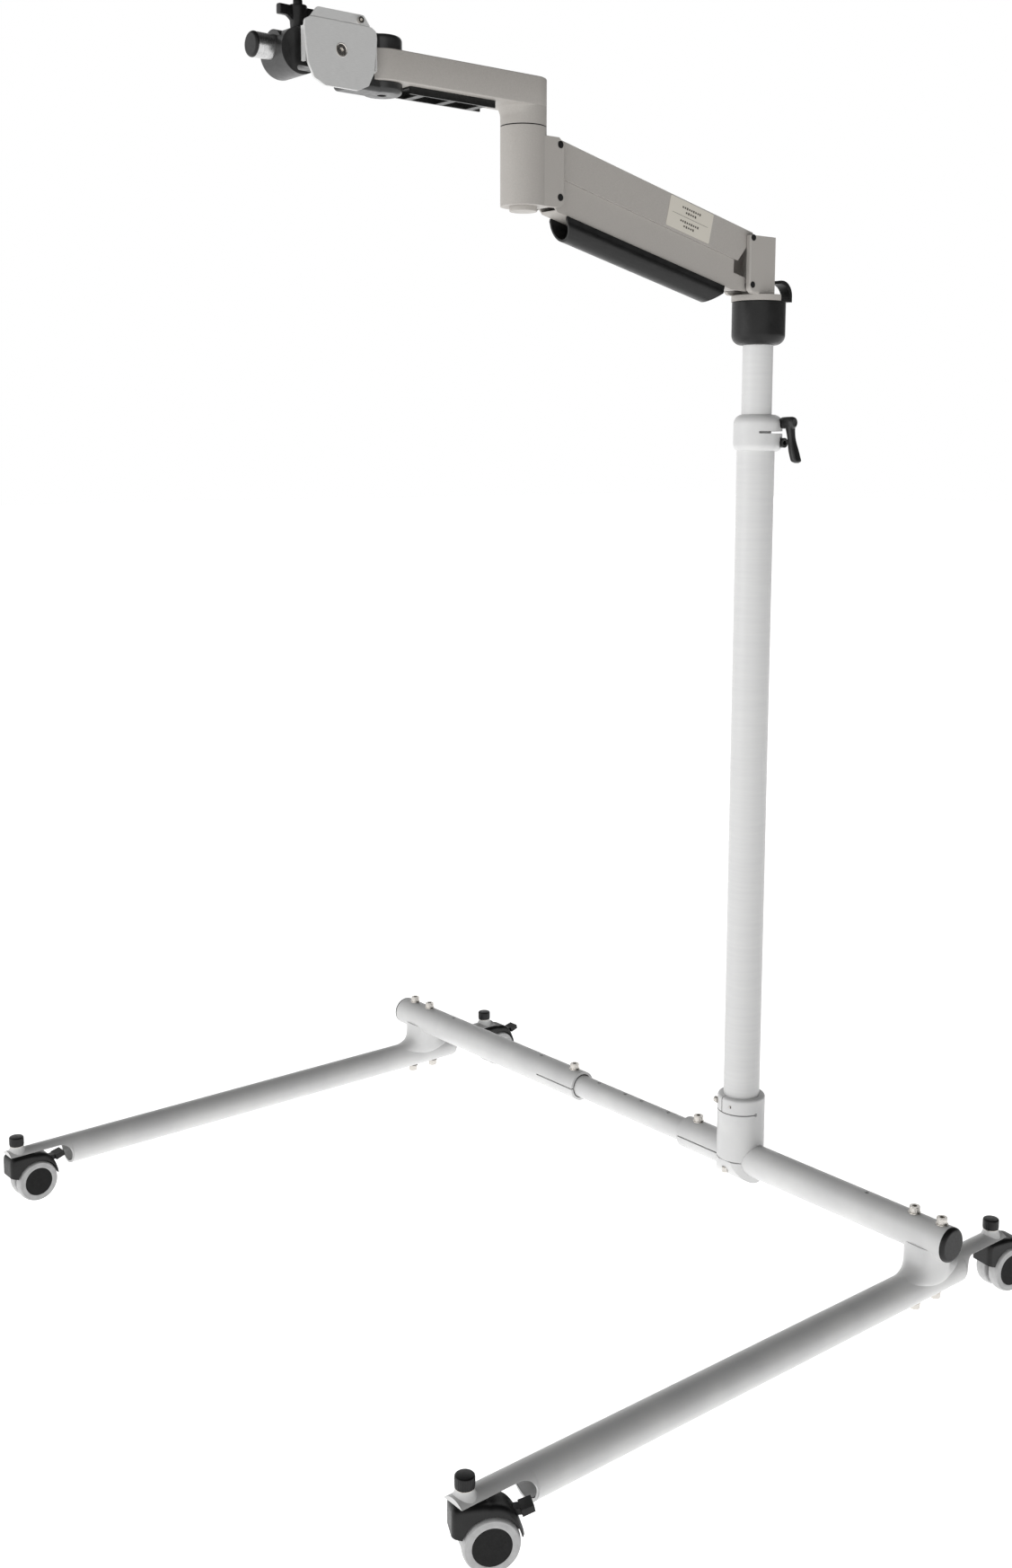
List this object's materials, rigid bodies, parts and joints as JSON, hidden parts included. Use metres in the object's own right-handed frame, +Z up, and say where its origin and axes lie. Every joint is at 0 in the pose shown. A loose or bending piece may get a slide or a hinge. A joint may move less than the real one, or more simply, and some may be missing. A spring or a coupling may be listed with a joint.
{
  "type": "mobile intraoral x-ray stand",
  "caption": "Mobile floor stand with swivel casters, a telescoping base and mast, and a balanced folding arm that carries a hand-held intraoral x-ray unit on a tilting plate.",
  "frame": {"origin": "on the floor under the centre of the whole stand's bounding box", "axes": "+Z up; +X along the cross tube from the far leg to the leg that the column stands beside; -Y to the front, the way both legs and the arm reach"},
  "size_m": [1.169, 0.9695, 1.552],
  "materials": {
    "base_enamel": "satin",
    "mast_steel": "satin",
    "arm_shell": "satin",
    "plate_grey": "satin",
    "black_plastic": "satin",
    "black_metal": "satin",
    "tread_rubber": "matte",
    "stainless": "satin",
    "holder_steel": "satin",
    "label_film": "matte"
  },
  "bodies": {
    "base_right": {"cross_tube_right": "base_enamel", "leg_right": "base_enamel", "saddle_right": "base_enamel", "cap_screws_right": "stainless", "tube_cap_right": "black_plastic", "glide_bush_right": "black_plastic", "column_socket": "base_enamel", "socket_screws": "stainless", "column_tube": "base_enamel", "column_bush": "black_plastic", "mast_clamp": "base_enamel", "mast_clamp_screw": "stainless", "stem_knobs_right": "black_plastic"},
    "inner": {"inner_tube": "base_enamel"},
    "base_left": {"cross_tube_left": "base_enamel", "leg_left": "base_enamel", "saddle_left": "base_enamel", "cap_screws_left": "stainless", "tube_cap_left": "black_plastic", "glide_bush_left": "black_plastic", "stem_knobs_left": "black_plastic"},
    "lever": {"clamp_lever": "black_metal"},
    "mast": {"mast_tube": "mast_steel", "collar_cup": "black_plastic"},
    "knuckle": {"base_knuckle": "arm_shell", "rear_pivot_pins": "stainless", "cable_hook": "black_plastic"},
    "upper_link": {"upper_cover": "arm_shell", "label_plate": "label_film", "gas_spring": "stainless"},
    "lower_link": {"lower_cover": "arm_shell", "cable_trough": "black_plastic"},
    "elbow": {"front_knuckle": "arm_shell", "front_pivot_pins": "stainless", "elbow_pin": "black_metal"},
    "forearm": {"forearm": "arm_shell", "forearm_channel": "black_plastic"},
    "head": {"head_fork": "arm_shell", "holder_tube": "holder_steel", "holder_tube_cap": "black_plastic"},
    "plate": {"tube_clamp": "black_metal", "quick_plate": "plate_grey", "plate_screws": "stainless"},
    "knob": {"wing_knob": "black_plastic"},
    "caster_fr_swivel": {"caster_fr_hood": "black_plastic"},
    "caster_fr_wheels": {"caster_fr_treads": "tread_rubber", "caster_fr_hubs": "black_plastic"},
    "caster_fr_brake": {"caster_fr_pedal": "black_plastic"},
    "caster_fl_swivel": {"caster_fl_hood": "black_plastic"},
    "caster_fl_wheels": {"caster_fl_treads": "tread_rubber", "caster_fl_hubs": "black_plastic"},
    "caster_fl_brake": {"caster_fl_pedal": "black_plastic"},
    "caster_rr_swivel": {"caster_rr_hood": "black_plastic"},
    "caster_rr_wheels": {"caster_rr_treads": "tread_rubber", "caster_rr_hubs": "black_plastic"},
    "caster_rr_brake": {"caster_rr_pedal": "black_plastic"},
    "caster_rl_swivel": {"caster_rl_hood": "black_plastic"},
    "caster_rl_wheels": {"caster_rl_treads": "tread_rubber", "caster_rl_hubs": "black_plastic"},
    "caster_rl_brake": {"caster_rl_pedal": "black_plastic"}
  },
  "joints": [
    {"name": "inner_tube_slide", "type": "slide", "parent": "base_right", "child": "inner", "axis": [1, 0, 0], "range_m": [-0.03, 0.108]},
    {"name": "left_leg_slide", "type": "slide", "parent": "inner", "child": "base_left", "axis": [1, 0, 0], "range_m": [-0.03, 0.108]},
    {"name": "clamp_lever_turn", "type": "hinge", "parent": "base_right", "child": "lever", "pos_m": [0.22096, 0.30825, 1.136], "axis": [1, 0, 0], "range_deg": [-60, 60]},
    {"name": "mast_slide", "type": "slide", "parent": "base_right", "child": "mast", "axis": [0, 0, 1], "range_m": [-0.08, 0.3]},
    {"name": "arm_swivel", "type": "hinge", "parent": "mast", "child": "knuckle", "pos_m": [0.22096, 0.27725, 1.3], "axis": [0, 0, 1], "range_deg": [-175, 175]},
    {"name": "arm_lift", "type": "hinge", "parent": "knuckle", "child": "upper_link", "pos_m": [0.22096, 0.23875, 1.3679], "axis": [-1, 0, 0], "range_deg": [-45, 25]},
    {"name": "arm_level", "type": "hinge", "parent": "knuckle", "child": "lower_link", "pos_m": [0.22096, 0.23875, 1.3094], "axis": [-1, 0, 0], "range_deg": [-45, 25]},
    {"name": "elbow_level", "type": "hinge", "parent": "upper_link", "child": "elbow", "pos_m": [0.22096, -0.08725, 1.4448], "axis": [-1, 0, 0], "range_deg": [-25, 45]},
    {"name": "forearm_swivel", "type": "hinge", "parent": "elbow", "child": "forearm", "pos_m": [0.22096, -0.12275, 1.47], "axis": [0, 0, 1], "range_deg": [-105, 105]},
    {"name": "head_swivel", "type": "hinge", "parent": "forearm", "child": "head", "pos_m": [0.22096, -0.31875, 1.5], "axis": [0, 0, 1], "range_deg": [-60, 58]},
    {"name": "plate_tilt", "type": "hinge", "parent": "head", "child": "plate", "pos_m": [0.22096, -0.42175, 1.501], "axis": [0, 1, 0], "range_deg": [-35, 35]},
    {"name": "wing_knob_turn", "type": "hinge", "parent": "plate", "child": "knob", "pos_m": [0.22096, -0.42175, 1.53], "axis": [0, 0, 1], "range_deg": [-180, 180]},
    {"name": "caster_fr_turn", "type": "hinge", "parent": "base_right", "child": "caster_fr_swivel", "pos_m": [0.54297, -0.46175, 0.06], "axis": [0, 0, 1], "continuous": true},
    {"name": "caster_fr_roll", "type": "hinge", "parent": "caster_fr_swivel", "child": "caster_fr_wheels", "pos_m": [0.55386, -0.44037, 0.03], "axis": [0.891, -0.454, 0], "continuous": true},
    {"name": "caster_fr_pedal_press", "type": "hinge", "parent": "caster_fr_swivel", "child": "caster_fr_brake", "pos_m": [0.56385, -0.42076, 0.056], "axis": [0.891, -0.454, 0], "range_deg": [-12, 0]},
    {"name": "caster_fl_turn", "type": "hinge", "parent": "base_left", "child": "caster_fl_swivel", "pos_m": [-0.53204, -0.46175, 0.06], "axis": [0, 0, 1], "continuous": true},
    {"name": "caster_fl_roll", "type": "hinge", "parent": "caster_fl_swivel", "child": "caster_fl_wheels", "pos_m": [-0.53204, -0.43775, 0.03], "axis": [1, 0, 0], "continuous": true},
    {"name": "caster_fl_pedal_press", "type": "hinge", "parent": "caster_fl_swivel", "child": "caster_fl_brake", "pos_m": [-0.53204, -0.41575, 0.056], "axis": [1, 0, 0], "range_deg": [-12, 0]},
    {"name": "caster_rr_turn", "type": "hinge", "parent": "base_right", "child": "caster_rr_swivel", "pos_m": [0.54297, 0.41425, 0.06], "axis": [0, 0, 1], "continuous": true},
    {"name": "caster_rr_roll", "type": "hinge", "parent": "caster_rr_swivel", "child": "caster_rr_wheels", "pos_m": [0.54713, 0.43789, 0.03], "axis": [0.9848, -0.1736, 0], "continuous": true},
    {"name": "caster_rr_pedal_press", "type": "hinge", "parent": "caster_rr_swivel", "child": "caster_rr_brake", "pos_m": [0.55095, 0.45955, 0.056], "axis": [0.9848, -0.1736, 0], "range_deg": [-12, 0]},
    {"name": "caster_rl_turn", "type": "hinge", "parent": "base_left", "child": "caster_rl_swivel", "pos_m": [-0.53204, 0.41425, 0.06], "axis": [0, 0, 1], "continuous": true},
    {"name": "caster_rl_roll", "type": "hinge", "parent": "caster_rl_swivel", "child": "caster_rl_wheels", "pos_m": [-0.53204, 0.43825, 0.03], "axis": [1, 0, 0], "continuous": true},
    {"name": "caster_rl_pedal_press", "type": "hinge", "parent": "caster_rl_swivel", "child": "caster_rl_brake", "pos_m": [-0.53204, 0.46025, 0.056], "axis": [1, 0, 0], "range_deg": [-12, 0]}
  ],
  "couplings": [
    {"joint": "arm_level", "follows": "arm_lift", "ratio": 1},
    {"joint": "elbow_level", "follows": "arm_lift", "ratio": -1}
  ]
}
